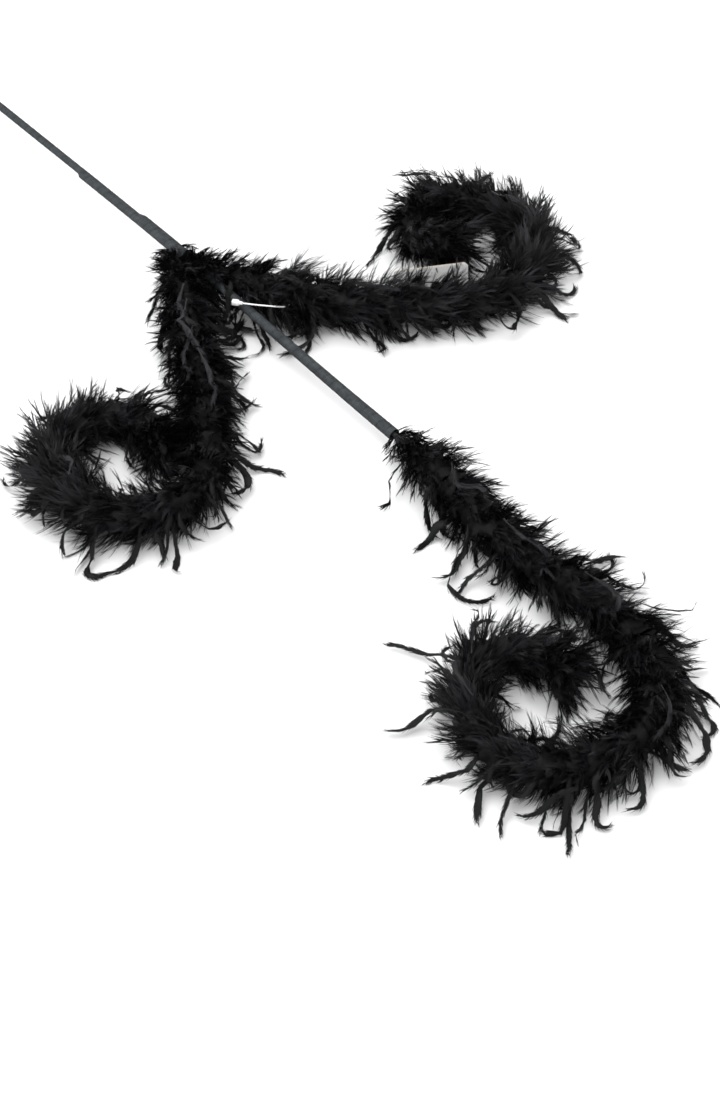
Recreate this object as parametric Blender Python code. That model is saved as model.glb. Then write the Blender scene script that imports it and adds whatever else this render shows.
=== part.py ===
"""A wired feather spray: three lengths of feather boa on bendable wires that leave one taped stem.

The stem runs along +X from its cut end at the origin. The spray lies flat, with +Z up. Each branch is a
wire with a boa sewn round it: a cord close to the wire and a sleeve of feathers round the cord. It leaves
the stem as an arm and ends in a curl. A branch bends where it leaves the stem and where its curl begins.
"""

import math

import bmesh
import bpy
from mathutils import Vector

# heights of the centre lines above the stem's cut end
FLOOR_Z = -0.019
BOA_Z = -0.002
FORK_Z = 0.004

# radii of what the wires carry, from the inside out
STEM_WIRE_R = 0.0018
BRANCH_WIRE_R = 0.0009
CORD_IN_R = 0.0014
CORD_OUT_R = 0.0026
SLEEVE_IN_R = 0.0032
SLEEVE_OUT_R = 0.0184
TAPE_WALL = 0.0006
TAPE_IN_R = 0.0021

# the stem's tape: its outer radius to the side, and how much flatter it is where it also binds wire tails
BUTT_TAPE_R = 0.0027
ONE_TAIL_TAPE_R = 0.00375
ONE_TAIL_FLATNESS = 0.79
ONE_TAIL_SHIFT = 0.00105
TWO_TAIL_TAPE_R = 0.0048
TWO_TAIL_FLATNESS = 0.66
LOWER_TAPE_R = (0.0032, 0.0034, 0.0042)
ROOT_TAPE_R = (0.0019, 0.0024)

# places along the stem
STEM_LENGTH = 0.600
LEFT_TAIL_X = 0.225
RIGHT_TAIL_X = 0.300
LEFT_ROOT_X = 0.346
RIGHT_ROOT_X = 0.369
TAIL_Y = 0.003
STEM_RISE = [(0.03, 0.0), (0.33, FORK_Z), (0.60, BOA_Z)]

# each branch: its root and heading, its bends as (length, turn in degrees), and where its curl begins
BRANCHES = {
    "left": {
        "root": (LEFT_ROOT_X, -TAIL_Y),
        "heading": -28.5,
        "bends": [(0.121, -1), (0.101, -9), (0.061, -75), (0.101, -98), (0.076, -113), (0.050, -68)],
        "fork_z": FORK_Z,
        "tape_at": 0.0045,
        "curl_at": 0.205,
        "sections": (0.300, 0.400),
    },
    "right": {
        "root": (RIGHT_ROOT_X, TAIL_Y),
        "heading": 12,
        "bends": [(0.083, 26), (0.125, 21), (0.062, 52), (0.062, 69), (0.062, 50)]
        + [(0.052, 114), (0.047, 84)],
        "fork_z": FORK_Z,
        "tape_at": 0.0150,
        "curl_at": 0.205,
        "sections": (0.300, 0.400),
    },
    "tip": {
        "root": (STEM_LENGTH, 0.0),
        "heading": 0,
        "bends": [(0.096, -9), (0.053, 17), (0.048, 0), (0.072, -34), (0.048, -51), (0.053, -37)]
        + [(0.072, -78), (0.048, -45), (0.034, -74), (0.048, -50)],
        "fork_z": BOA_Z,
        "tape_at": 0.0045,
        "curl_at": 0.200,
        "sections": (0.315, 0.440),
    },
}

# clearances and stations along a branch, measured from its root or from its end
CHORD = 0.014
STEM_CHORD = 0.030
AIR = 0.0003
WIRE_GAP = 0.0008
CORD_GAP = 0.0015
SLEEVE_GAP = 0.0035
FORK_GAP = 0.0015
LEFT_FORK_END = 0.3535
RIGHT_FORK_END = 0.3815
LOWER_TAPE_MIDDLE = 0.45
LOWER_TAPE_GAP = 0.002
BOA_START = 0.0255
SLIM_SLEEVE = 0.040
FULL_SLEEVE = 0.070
NECK_R = 0.0042
SLIM_R = 0.006
WAIST_R = 0.008
WAIST_LENGTH = 0.006
STRAP_AT = 0.080
STRAP_GAP = 0.0025
TIP_TAPER = 0.020
TIP_R = 0.007
END_KNOT = 0.010
END_KNOT_PROFILE = [(AIR, 0.0016), (0.003, 0.0030), (0.006, 0.0030), (0.009, 0.0012)]

# the tag and the nylon strap that holds it
STRAP_R = 0.0006
STRAP_TURN_R = 0.0042
STRAP_TURN_FROM = 50
STRAP_TURN_TO = 450
STRAP_TURN_STEPS = 10
STRAP_PITCH = 0.0018
STRAP_SPACING = 0.0035
LOCK_START = Vector((0.4252, -0.0085, 0.0095))
LOCK_END = Vector((0.4318, -0.0038, 0.0100))
LOCK_PROFILE = [(0, 0.0016), (0.0008, 0.0022), (0.0050, 0.0022), (0.0058, 0.0013)]
LOCK_NOSE_R = 0.0010
STRAP_OVER_STEM = Vector((0.4415, 0.0066, 0.0085))
STRAP_PAST_CARD = 0.0030
TOGGLE_R = 0.0009
TOGGLE_LENGTH = 0.0070
CARD_CORNER = (0.4745, 0.1065)
CARD_HEADING = 60
CARD_SIZE = (0.057, 0.0225, 0.0008)
CARD_LEAN = 8
CARD_LIFT = 0.0015
CARD_ROUND = 0.003
HOLE_R = 0.0020
HOLE_INSET = 0.006


def clear_scene():
    for old in list(bpy.data.objects):
        bpy.data.objects.remove(old, do_unlink=True)


def coat(name, colour, roughness, metallic=0.0):
    made = bpy.data.materials.new(name)
    made.use_nodes = True
    shader = made.node_tree.nodes["Principled BSDF"]
    shader.inputs["Base Color"].default_value = (*colour, 1.0)
    shader.inputs["Roughness"].default_value = roughness
    shader.inputs["Metallic"].default_value = metallic
    return made


def eased(knots, s):
    """The height at s: level at every knot, with a smooth step between neighbours."""
    if s <= knots[0][0]:
        return knots[0][1]
    for (s0, z0), (s1, z1) in zip(knots, knots[1:]):
        if s <= s1:
            t = (s - s0) / (s1 - s0)
            return z0 + (z1 - z0) * t * t * (3 - 2 * t)
    return knots[-1][1]


class Route:
    """The centre line of a bent wire, as short chords, each with the distance s where it starts."""

    def __init__(self, root, heading, bends, heights, chord=CHORD):
        x, y = root
        angle = math.radians(heading)
        self.s = [0.0]
        self.p = [Vector((x, y, eased(heights, 0.0)))]
        for length, turn in bends:
            chords = max(1, round(length / chord))
            step = length / chords
            for _ in range(chords):
                angle += math.radians(turn) / chords / 2
                x += step * math.cos(angle)
                y += step * math.sin(angle)
                angle += math.radians(turn) / chords / 2
                self.s.append(self.s[-1] + step)
                self.p.append(Vector((x, y, eased(heights, self.s[-1]))))
        self.length = self.s[-1]

    def chord_at(self, s):
        for k in range(len(self.s) - 2):
            if s < self.s[k + 1]:
                return k
        return len(self.s) - 2

    def direction(self, s):
        k = self.chord_at(s)
        return (self.p[k + 1] - self.p[k]).normalized()

    def mid_chord(self, s):
        """The middle of the chord that s is on, where two sleeves can meet square to it."""
        k = self.chord_at(s)
        return (self.s[k] + self.s[k + 1]) / 2

    def point(self, s):
        k = self.chord_at(s)
        share = (s - self.s[k]) / (self.s[k + 1] - self.s[k])
        return self.p[k].lerp(self.p[k + 1], share)

    def stations(self, wanted):
        """(s, centre, direction) at every wanted s and at every chord end between them."""
        made = [(s, self.point(s), self.direction(s)) for s in wanted]
        for k in range(1, len(self.s) - 1):
            s = self.s[k]
            if wanted[0] < s < wanted[-1] and min(abs(s - w) for w in wanted) > 0.0005:
                before = (self.p[k] - self.p[k - 1]).normalized()
                after = (self.p[k + 1] - self.p[k]).normalized()
                made.append((s, self.p[k].copy(), (before + after).normalized()))
        return sorted(made, key=lambda station: station[0])


def radius_at(knots, s):
    for (s0, r0), (s1, r1) in zip(knots, knots[1:]):
        if s <= s1:
            return r0 + (r1 - r0) * max(0.0, s - s0) / (s1 - s0)
    return knots[-1][1]


def ring(bm, centre, direction, side_r, up_r, offset, sides):
    """A ring of vertices square to direction, shifted by offset to its right-hand side."""
    side = direction.cross(Vector((0, 0, 1))).normalized()
    up = side.cross(direction)
    made = []
    for k in range(sides):
        turn = 2 * math.pi * (k + 0.5) / sides
        arm = side * (offset + side_r * math.cos(turn)) + up * up_r * math.sin(turn)
        made.append(bm.verts.new(centre + arm))
    return made


def skin(bm, rings):
    for a, b in zip(rings, rings[1:]):
        for k in range(len(a)):
            n = (k + 1) % len(a)
            bm.faces.new((a[k], a[n], b[n], b[k]))


def place(bm, name, material, pivot):
    """Turns bm into a smooth shaded object whose origin is its parent hinge, or the part's own origin."""
    bmesh.ops.recalc_face_normals(bm, faces=bm.faces)
    if pivot:
        bmesh.ops.translate(bm, verts=bm.verts, vec=-pivot.matrix_world.translation)
    mesh = bpy.data.meshes.new(name)
    bm.to_mesh(mesh)
    bm.free()
    mesh.shade_smooth()
    mesh.set_sharp_from_angle(angle=math.radians(40))
    mesh.materials.append(material)
    made = bpy.data.objects.new(name, mesh)
    bpy.context.collection.objects.link(made)
    made.parent = pivot
    return made


def rod(name, route, knots, material, pivot=None, sides=6):
    """A solid rod along the route, with its radius from (s, radius) knots."""
    bm = bmesh.new()
    rings = [
        ring(bm, c, d, radius_at(knots, s), radius_at(knots, s), 0, sides)
        for s, c, d in route.stations([s for s, r in knots])
    ]
    skin(bm, rings)
    bm.faces.new(rings[0])
    bm.faces.new(rings[-1])
    return place(bm, name, material, pivot)


def sleeve(name, route, knots, inner, material, pivot=None, sides=6, up_share=1.0, offset=0.0):
    """A tube round the route, open at both ends. knots give its outer radius; up_share flattens it."""
    bm = bmesh.new()
    stations = route.stations([s for s, r in knots])
    outside, inside = [], []
    for s, c, d in stations:
        r = radius_at(knots, s)
        bore = r - TAPE_WALL if inner is None else inner
        bore_up = r * up_share - TAPE_WALL if inner is None else inner
        outside.append(ring(bm, c, d, r, r * up_share, offset, sides))
        inside.append(ring(bm, c, d, bore, bore_up, offset, sides))
    skin(bm, outside)
    skin(bm, inside)
    for end in (0, -1):
        skin(bm, [outside[end], inside[end]])
    return place(bm, name, material, pivot)


def hinge(name, point, parent=None):
    """An empty on a bend's upright axis, which carries what moves with the bend."""
    made = bpy.data.objects.new(name, None)
    bpy.context.collection.objects.link(made)
    made.empty_display_size = 0.02
    made.parent = parent
    made.location = point - (parent.matrix_world.translation if parent else Vector())
    bpy.context.view_layer.update()
    return made


def build_stem(wire, tape):
    stem = Route((0, 0), 0, [(STEM_LENGTH, 0)], STEM_RISE, STEM_CHORD)
    rod("stem_wire", stem, [(0, STEM_WIRE_R), (STEM_LENGTH - WIRE_GAP, STEM_WIRE_R)], wire, sides=10)
    tails = [("left_wire_tail", LEFT_TAIL_X, LEFT_ROOT_X, -1)]
    tails.append(("right_wire_tail", RIGHT_TAIL_X, RIGHT_ROOT_X, 1))
    for name, start, end, hand in tails:
        line = Route((0, hand * TAIL_Y), 0, [(STEM_LENGTH, 0)], STEM_RISE, STEM_CHORD)
        rod(name, line, [(start + AIR, BRANCH_WIRE_R), (end - WIRE_GAP, BRANCH_WIRE_R)], wire)
    knots = [(0, BUTT_TAPE_R), (LEFT_TAIL_X - AIR, BUTT_TAPE_R)]
    sleeve("tape_butt", stem, knots, None, tape, sides=10)
    knots = [(LEFT_TAIL_X, ONE_TAIL_TAPE_R), (RIGHT_TAIL_X - AIR, ONE_TAIL_TAPE_R)]
    flat, shift = ONE_TAIL_FLATNESS, ONE_TAIL_SHIFT
    sleeve("tape_middle", stem, knots, None, tape, sides=10, up_share=flat, offset=shift)
    knots = [(RIGHT_TAIL_X, TWO_TAIL_TAPE_R), (LEFT_ROOT_X - FORK_GAP, TWO_TAIL_TAPE_R)]
    sleeve("tape_shoulder", stem, knots, None, tape, sides=10, up_share=TWO_TAIL_FLATNESS)
    knots = [(LEFT_FORK_END, ONE_TAIL_TAPE_R), (RIGHT_ROOT_X - FORK_GAP, ONE_TAIL_TAPE_R)]
    sleeve("tape_fork", stem, knots, None, tape, sides=10, up_share=flat, offset=-shift)
    places = (RIGHT_FORK_END, LOWER_TAPE_MIDDLE, STEM_LENGTH - LOWER_TAPE_GAP)
    sleeve("tape_lower", stem, list(zip(places, LOWER_TAPE_R)), TAPE_IN_R, tape, sides=10)


def build_arm(name, route, tape_at, curl_at, pivot, mats):
    """The straight part of a branch, from its root to where its curl begins."""
    wire = [(WIRE_GAP, BRANCH_WIRE_R), (curl_at - WIRE_GAP, BRANCH_WIRE_R)]
    rod(f"{name}_arm_wire", route, wire, mats["wire"], pivot)
    tape = list(zip((tape_at, BOA_START - AIR), ROOT_TAPE_R))
    sleeve(f"{name}_root_tape", route, tape, CORD_IN_R, mats["tape"], pivot)
    cord = [(BOA_START, CORD_OUT_R), (curl_at - CORD_GAP, CORD_OUT_R)]
    sleeve(f"{name}_arm_cord", route, cord, CORD_IN_R, mats["cord"], pivot)
    start = BOA_START + AIR
    root = [(start, NECK_R), (SLIM_SLEEVE, SLIM_R), (FULL_SLEEVE, SLEEVE_OUT_R)]
    root.append((STRAP_AT - STRAP_GAP, SLEEVE_OUT_R))
    sleeve(f"{name}_root_feathers", route, root, SLEEVE_IN_R, mats["feather"], pivot, sides=8)
    end = curl_at - SLEEVE_GAP
    arm = [(STRAP_AT + STRAP_GAP, SLEEVE_OUT_R), (end - WAIST_LENGTH, SLEEVE_OUT_R), (end, WAIST_R)]
    sleeve(f"{name}_arm_feathers", route, arm, SLEEVE_IN_R, mats["feather"], pivot, sides=8)


def build_curl(name, route, curl_at, sections, pivot, mats):
    """The curl of a branch: it is cut into a bend, a middle and a tip, and ends in a thread knot."""
    wire_end = route.length - END_KNOT
    wire = [(curl_at + WIRE_GAP, BRANCH_WIRE_R), (wire_end, BRANCH_WIRE_R)]
    rod(f"{name}_curl_wire", route, wire, mats["wire"], pivot)
    cord = [(curl_at + CORD_GAP, CORD_OUT_R), (wire_end, CORD_OUT_R)]
    sleeve(f"{name}_curl_cord", route, cord, CORD_IN_R, mats["cord"], pivot)
    knot = [(wire_end + s, r) for s, r in END_KNOT_PROFILE]
    rod(f"{name}_end_knot", route, knot, mats["cord"], pivot)
    first, second = (route.mid_chord(s) for s in sections)
    start = curl_at + SLEEVE_GAP
    bend = [(start, WAIST_R), (start + WAIST_LENGTH, SLEEVE_OUT_R), (first - AIR, SLEEVE_OUT_R)]
    sleeve(f"{name}_bend_feathers", route, bend, SLEEVE_IN_R, mats["feather"], pivot, sides=8)
    middle = [(first, SLEEVE_OUT_R), (second - AIR, SLEEVE_OUT_R)]
    sleeve(f"{name}_curl_feathers", route, middle, SLEEVE_IN_R, mats["feather"], pivot, sides=8)
    tip = [(second, SLEEVE_OUT_R), (wire_end - TIP_TAPER, SLEEVE_OUT_R), (wire_end - AIR, TIP_R)]
    sleeve(f"{name}_tip_feathers", route, tip, SLEEVE_IN_R, mats["feather"], pivot, sides=8)


def build_branch(name, plan, mats):
    heights = [(0.0, plan["fork_z"]), (0.12, BOA_Z)]
    route = Route(plan["root"], plan["heading"], plan["bends"], heights)
    arm_hinge = hinge(f"{name}_branch_bend", route.point(0))
    build_arm(name, route, plan["tape_at"], plan["curl_at"], arm_hinge, mats)
    curl_hinge = hinge(f"{name}_curl_bend", route.point(plan["curl_at"]), arm_hinge)
    build_curl(name, route, plan["curl_at"], plan["sections"], curl_hinge, mats)
    return route, arm_hinge


def smooth_path(guides, spacing):
    """Points about spacing apart on the smooth curve through the guide points."""
    padded = [2 * guides[0] - guides[1], *guides, 2 * guides[-1] - guides[-2]]
    made = []
    for a, b, c, d in zip(padded, padded[1:], padded[2:], padded[3:]):
        count = max(1, round((c - b).length / spacing))
        for k in range(count):
            t = k / count
            bow = 2 * b + (c - a) * t + (2 * a - 5 * b + 4 * c - d) * t * t
            made.append((bow + (3 * b - a - 3 * c + d) * t**3) / 2)
    return made + [guides[-1]]


def card_frame():
    """The card's hole, its long direction, its face's direction and its upward direction."""
    heading, lean = math.radians(CARD_HEADING), math.radians(CARD_LEAN)
    along = Vector((math.cos(heading), math.sin(heading), 0))
    across = Vector((-math.sin(heading), math.cos(heading), 0))
    up = Vector((0, 0, math.cos(lean))) + across * math.sin(lean)
    face = along.cross(up)
    corner = Vector((*CARD_CORNER, FLOOR_Z + CARD_LIFT))
    hole = corner + along * HOLE_INSET + up * CARD_SIZE[1] / 2
    return hole, along, face, up


def strap_guides(route):
    """The strap's guide points: over the boa, once round its cord in the gap, and on to the card's hole."""
    centre = route.point(STRAP_AT)
    ahead = route.direction(STRAP_AT)
    right = ahead.cross(Vector((0, 0, 1))).normalized()
    up = right.cross(ahead)
    hole, along, face, _ = card_frame()
    start = LOCK_END + (LOCK_END - LOCK_START).normalized() * AIR
    guides = [start, STRAP_OVER_STEM]
    guides.append(centre + right * 0.0182 + up * 0.0062 - ahead * STRAP_PITCH / 2)
    guides.append(centre + right * 0.0090 + up * 0.0035 - ahead * STRAP_PITCH / 2)
    for k in range(STRAP_TURN_STEPS + 1):
        share = k / STRAP_TURN_STEPS
        turn = math.radians(STRAP_TURN_FROM + (STRAP_TURN_TO - STRAP_TURN_FROM) * share)
        arm = right * math.cos(turn) + up * math.sin(turn)
        guides.append(centre + arm * STRAP_TURN_R + ahead * STRAP_PITCH * (share - 0.5))
    guides.append(centre - right * 0.0090 + up * 0.0030 + ahead * STRAP_PITCH / 2)
    guides.append(centre - right * 0.0200 - up * 0.0020 + ahead * 0.0010)
    guides.append(centre - right * 0.0235 - up * 0.0060 + ahead * 0.0130)
    guides.append(hole + face * 0.0044 - along * 0.0140)
    guides.append(hole + face * STRAP_PAST_CARD - along * STRAP_PAST_CARD)
    guides.append(hole)
    guides.append(hole - face * STRAP_PAST_CARD)
    return guides


def build_strap(route, pivot, mats):
    points = smooth_path(strap_guides(route), STRAP_SPACING)
    curve = bpy.data.curves.new("tag_strap", "CURVE")
    curve.dimensions = "3D"
    curve.bevel_depth = STRAP_R
    curve.bevel_resolution = 2
    curve.use_fill_caps = True
    line = curve.splines.new("POLY")
    line.points.add(len(points) - 1)
    for spot, point in zip(line.points, points):
        spot.co = (*(point - pivot.matrix_world.translation), 1)
    curve.materials.append(mats["nylon"])
    strap = bpy.data.objects.new("tag_strap", curve)
    bpy.context.collection.objects.link(strap)
    strap.parent = pivot


def straight(start, end):
    """A route of one straight line between two points."""
    line = Route((0, 0), 0, [(1, 0)], [(0, 0)])
    line.s = [0.0, (end - start).length]
    line.p = [start, end]
    line.length = line.s[-1]
    return line


def build_lock(pivot, mats):
    line = straight(LOCK_START, LOCK_END)
    rod("tag_lock", line, LOCK_PROFILE + [(line.length, LOCK_NOSE_R)], mats["nylon"], pivot)


def build_toggle(pivot, mats):
    """The cross bar at the strap's far end, which keeps the card on it."""
    hole, along, face, _ = card_frame()
    centre = hole - face * (STRAP_PAST_CARD + AIR + TOGGLE_R)
    reach = along * TOGGLE_LENGTH / 2
    line = straight(centre - reach, centre + reach)
    rod("tag_toggle", line, [(0, TOGGLE_R), (line.length, TOGGLE_R)], mats["nylon"], pivot)


def rounded_outline(width, height, radius):
    """Corner arcs of a rounded rectangle centred on its own middle, as (x, y) pairs."""
    made = []
    for turn, (sx, sy) in enumerate(((1, 1), (-1, 1), (-1, -1), (1, -1))):
        for k in range(4):
            a = math.radians(90 * turn + 30 * k)
            x = sx * (width / 2 - radius) + radius * math.cos(a)
            made.append((x, sy * (height / 2 - radius) + radius * math.sin(a)))
    return made


def build_card(parent, mats):
    """The blank card. Its origin is its hole, on the axis square to its face."""
    hole, along, face, up = card_frame()
    swing = hinge("tag_card_swing", hole, parent)
    width, height, thick = CARD_SIZE
    centre = hole + along * (width / 2 - HOLE_INSET)
    bm = bmesh.new()
    layers = []
    for depth in (-thick / 2, thick / 2):
        outline = rounded_outline(width, height, CARD_ROUND)
        layers.append([bm.verts.new(centre + along * x + up * y + face * depth) for x, y in outline])
    skin(bm, layers)
    bm.faces.new(layers[0])
    bm.faces.new(layers[1])
    card = place(bm, "tag_card", mats["card"], swing)
    card.data.shade_flat()
    bm = bmesh.new()
    drill = straight(hole - face * thick * 2, hole + face * thick * 2)
    rings = [ring(bm, end, drill.direction(0), HOLE_R, HOLE_R, 0, 16) for end in drill.p]
    skin(bm, rings)
    bm.faces.new(rings[0])
    bm.faces.new(rings[1])
    cutter = place(bm, "hole_cutter", mats["card"], swing)
    cutter.hide_render = True
    cutter.display_type = "WIRE"
    punch = card.modifiers.new("hole", "BOOLEAN")
    punch.operation = "DIFFERENCE"
    punch.object = cutter


def build():
    clear_scene()
    mats = {
        "wire": coat("coated_wire", (0.02, 0.02, 0.02), 0.45, 0.6),
        "tape": coat("floral_tape", (0.075, 0.085, 0.085), 0.75),
        "cord": coat("boa_cord", (0.008, 0.008, 0.009), 0.85),
        "feather": coat("black_feather", (0.006, 0.006, 0.007), 0.6),
        "nylon": coat("white_nylon", (0.85, 0.85, 0.85), 0.35),
        "card": coat("white_card", (0.88, 0.87, 0.84), 0.7),
    }
    build_stem(mats["wire"], mats["tape"])
    arms = {name: build_branch(name, plan, mats) for name, plan in BRANCHES.items()}
    route, arm_hinge = arms["right"]
    build_lock(arm_hinge, mats)
    build_strap(route, arm_hinge, mats)
    build_toggle(arm_hinge, mats)
    build_card(arm_hinge, mats)


build()
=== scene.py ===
import math

import bpy
import numpy as np
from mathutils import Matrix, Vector


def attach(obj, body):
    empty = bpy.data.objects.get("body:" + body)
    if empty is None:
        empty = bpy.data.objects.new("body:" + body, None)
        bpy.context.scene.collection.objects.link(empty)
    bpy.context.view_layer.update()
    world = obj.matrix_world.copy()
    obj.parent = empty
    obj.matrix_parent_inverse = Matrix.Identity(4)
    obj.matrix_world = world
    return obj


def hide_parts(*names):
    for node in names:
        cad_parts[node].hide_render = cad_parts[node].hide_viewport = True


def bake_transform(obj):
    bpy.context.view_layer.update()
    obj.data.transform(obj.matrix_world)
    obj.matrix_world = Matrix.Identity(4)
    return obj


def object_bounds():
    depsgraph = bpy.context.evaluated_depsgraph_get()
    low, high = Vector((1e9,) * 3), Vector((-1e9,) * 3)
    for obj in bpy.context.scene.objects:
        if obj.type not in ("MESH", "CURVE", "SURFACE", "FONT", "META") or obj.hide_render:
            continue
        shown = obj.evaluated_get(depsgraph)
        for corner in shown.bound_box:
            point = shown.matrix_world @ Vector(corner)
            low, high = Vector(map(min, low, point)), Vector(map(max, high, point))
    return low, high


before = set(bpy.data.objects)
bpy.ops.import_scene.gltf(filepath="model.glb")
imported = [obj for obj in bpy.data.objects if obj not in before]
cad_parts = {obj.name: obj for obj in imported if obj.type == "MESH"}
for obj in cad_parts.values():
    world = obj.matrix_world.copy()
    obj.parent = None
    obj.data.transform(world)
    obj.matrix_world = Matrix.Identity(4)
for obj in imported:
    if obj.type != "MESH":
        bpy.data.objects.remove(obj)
cad_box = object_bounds()

# The floor is what the boa lies on, so it is level with the lowest point of the part.
FLOOR_Z = cad_box[0].z
BOA_Z = -0.002
FORK_Z = 0.004
UP = np.array((0.0, 0.0, 1.0))

# The stem, its fork and the wires of the branches, as the part has them. The bends, as (length, turn),
# are a separate program's fit to centre lines that were traced by hand, rounded to 1 mm and 1 degree.
STEM_LENGTH = 0.600
STEM_RISE = [(0.03, 0.0), (0.33, FORK_Z), (0.60, BOA_Z)]
STEP = 0.002
BRANCH_FALL = 0.12
BRANCHES = {
    "left": {
        "root": (0.346, -0.003),
        "heading": -28.5,
        "bends": [(0.121, -1), (0.101, -9), (0.061, -75), (0.101, -98), (0.076, -113), (0.050, -68)],
        "fork_z": FORK_Z,
        "curl_at": 0.205,
        "full_near": [(0.350, 1.16, 0.060), (0.100, 1.10, 0.040)],
    },
    "right": {
        "root": (0.369, 0.003),
        "heading": 12,
        "bends": [(0.083, 26), (0.125, 21), (0.062, 52), (0.062, 69), (0.062, 50)]
        + [(0.052, 114), (0.047, 84)],
        "fork_z": FORK_Z,
        "curl_at": 0.205,
        "full_near": [(0.290, 1.20, 0.040), (0.075, 1.34, 0.016), (0.135, 1.12, 0.030)],
    },
    "tip": {
        "root": (STEM_LENGTH, 0.0),
        "heading": 0,
        "bends": [(0.096, -9), (0.053, 17), (0.048, 0), (0.072, -34), (0.048, -51), (0.053, -37)]
        + [(0.072, -78), (0.048, -45), (0.034, -74), (0.048, -50)],
        "fork_z": BOA_Z,
        "curl_at": 0.200,
        "full_near": [(0.300, 1.12, 0.070), (0.150, 1.08, 0.050)],
    },
}

# Loose matted feather tips: (station in mm, angle to the left of the branch's heading, length in mm,
# turn). The first 13 of the left, 15 of the right and 23 of the tip are a separate program's output, worked
# out from the strips' ends, which were read off by hand. The others were chosen one by one.
WISPS = {
    "left": [(340, 45, 56, 3), (345, 69, 44, 90), (325, 68, 54, 9), (295, 41, 64, -1), (290, 51, 69, -23)]
    + [(295, 111, 40, 2), (255, 65, 52, 115), (90, 63, 48, 4), (190, 129, 56, 3), (95, -50, 44, 4)]
    + [(380, -33, 54, -44), (165, 133, 58, 29), (115, 129, 52, 9), (60, 70, 46, 60), (140, 75, 44, -30)]
    + [(40, 60, 52, 100), (52, 58, 60, -20), (80, 64, 54, 130), (128, 66, 50, -60), (180, 70, 56, 40)]
    + [(205, 62, 58, 60), (215, 58, 54, -110), (352, 60, 58, 30), (270, 62, 50, 20), (70, -64, 44, 90)]
    + [(120, -60, 46, -40), (360, 52, 50, -30), (310, 60, 56, 50), (440, -48, 40, 30), (462, -60, 36, 20)]
    + [(300, -74, 40, -20), (262, -66, 38, 30)],
    "right": [(355, -80, 72, -27), (310, -85, 54, -35), (280, -53, 62, -100), (235, -47, 62, -1)]
    + [(210, -80, 48, -4), (120, -46, 52, 25), (85, -49, 54, 170), (75, -53, 54, 2), (40, -50, 66, 24)]
    + [(85, 96, 50, 9), (100, 95, 52, 8), (430, -48, 54, 51), (355, -60, 64, -3), (245, -52, 50, -39)]
    + [(45, -65, 56, 50), (30, -75, 50, -30), (60, -60, 46, 80), (90, -70, 62, -120), (66, 80, 40, 30)]
    + [(52, -72, 58, 20), (36, -80, 54, 60), (68, -66, 58, -90), (130, -62, 58, 150), (165, -60, 54, 170)]
    + [(225, -58, 58, -150), (255, -60, 54, 60), (335, -70, 58, 40), (370, -72, 54, -60), (75, 70, 44, 120)]
    + [(92, 78, 46, -80), (300, -66, 50, 20), (66, -72, 38, 10), (71, -74, 36, -20), (76, -70, 38, 20)],
    "tip": [(20, -44, 67, 23), (40, -43, 57, 35), (85, -44, 67, 4), (105, -57, 92, 77), (210, 66, 68, -36)]
    + [(235, 51, 60, -37), (245, 44, 66, -56), (295, 52, 60, -26), (335, 113, 42, 38), (395, 65, 54, 13)]
    + [(375, 38, 54, 13), (360, 53, 58, -1), (355, 53, 50, 5), (350, 44, 42, 21), (390, 45, 48, -102)]
    + [(495, 59, 66, 94), (470, 103, 58, 32), (560, 24, 44, -86), (565, 44, 44, -32), (440, -102, 74, 0)]
    + [(155, 65, 66, -31), (505, -172, 42, 30), (225, 45, 56, -24), (180, 58, 56, -20), (262, 60, 54, -30)]
    + [(30, -60, 50, -60), (52, -56, 54, 40), (66, -58, 58, -30), (128, -60, 52, -90), (192, 62, 60, 30)]
    + [(280, 58, 60, -20), (318, 60, 58, 10), (328, 54, 54, -40), (366, 60, 62, -10), (384, 56, 60, 6)]
    + [(402, 60, 58, 10), (430, 62, 50, -20), (510, 62, 56, -60), (545, 40, 46, 70), (170, 60, 60, 70)],
}

# strips that lie on top of the fluff, in the same terms but with their whole length near the boa's line
LYING = {
    "left": [(75, 14, 62, -30), (105, -10, 58, 30), (130, 18, 54, -46), (345, -20, 40, 30)]
    + [(60, -16, 44, 24)],
    "right": [(110, 8, 60, -24), (140, -8, 52, 20), (330, 24, 46, 40), (395, -30, 44, 50)]
    + [(60, -20, 40, 20)],
    "tip": [(120, 12, 52, -24), (190, -14, 48, -20), (455, 22, 56, -50), (425, 30, 50, -60)]
    + [(490, 18, 44, -40), (60, 16, 44, 26), (300, 24, 42, -50)],
}

# the plumes of the boa
PLUMES_PER_METRE = 2700
TUFTS = 5
BARBS_PER_TUFT = 8
BARB_POINTS = 5
BLADE_POINTS = 7
PLUME_LENGTH = 0.0245
BARB_LENGTH = 0.0150
BARB_HALF_WIDTH = 0.00019
BLADE_HALF_WIDTH = 0.0009
TIP_HALF_WIDTH = 0.00003
CORE_R = 0.0115
THIN_START = 0.56
# how far the fluff may rise above the part and reach past its sides
HIGHEST = cad_box[1].z + 0.0100
REACH = 0.0200
GOLDEN_TURN = 2 * math.pi * 0.618034

# the matted strips, and where a branch is cut into sections
STRIP_POINTS = 36
STRIP_HALF_WIDTH = 0.0022
LYING_HALF_WIDTH = 0.0014
SHORT_HALF_WIDTH = 0.0012
SHORT_PER_METRE = 130
ROOT_STOP = 0.060
BEND_HALF = 0.045
END_GAP = 0.010

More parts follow.
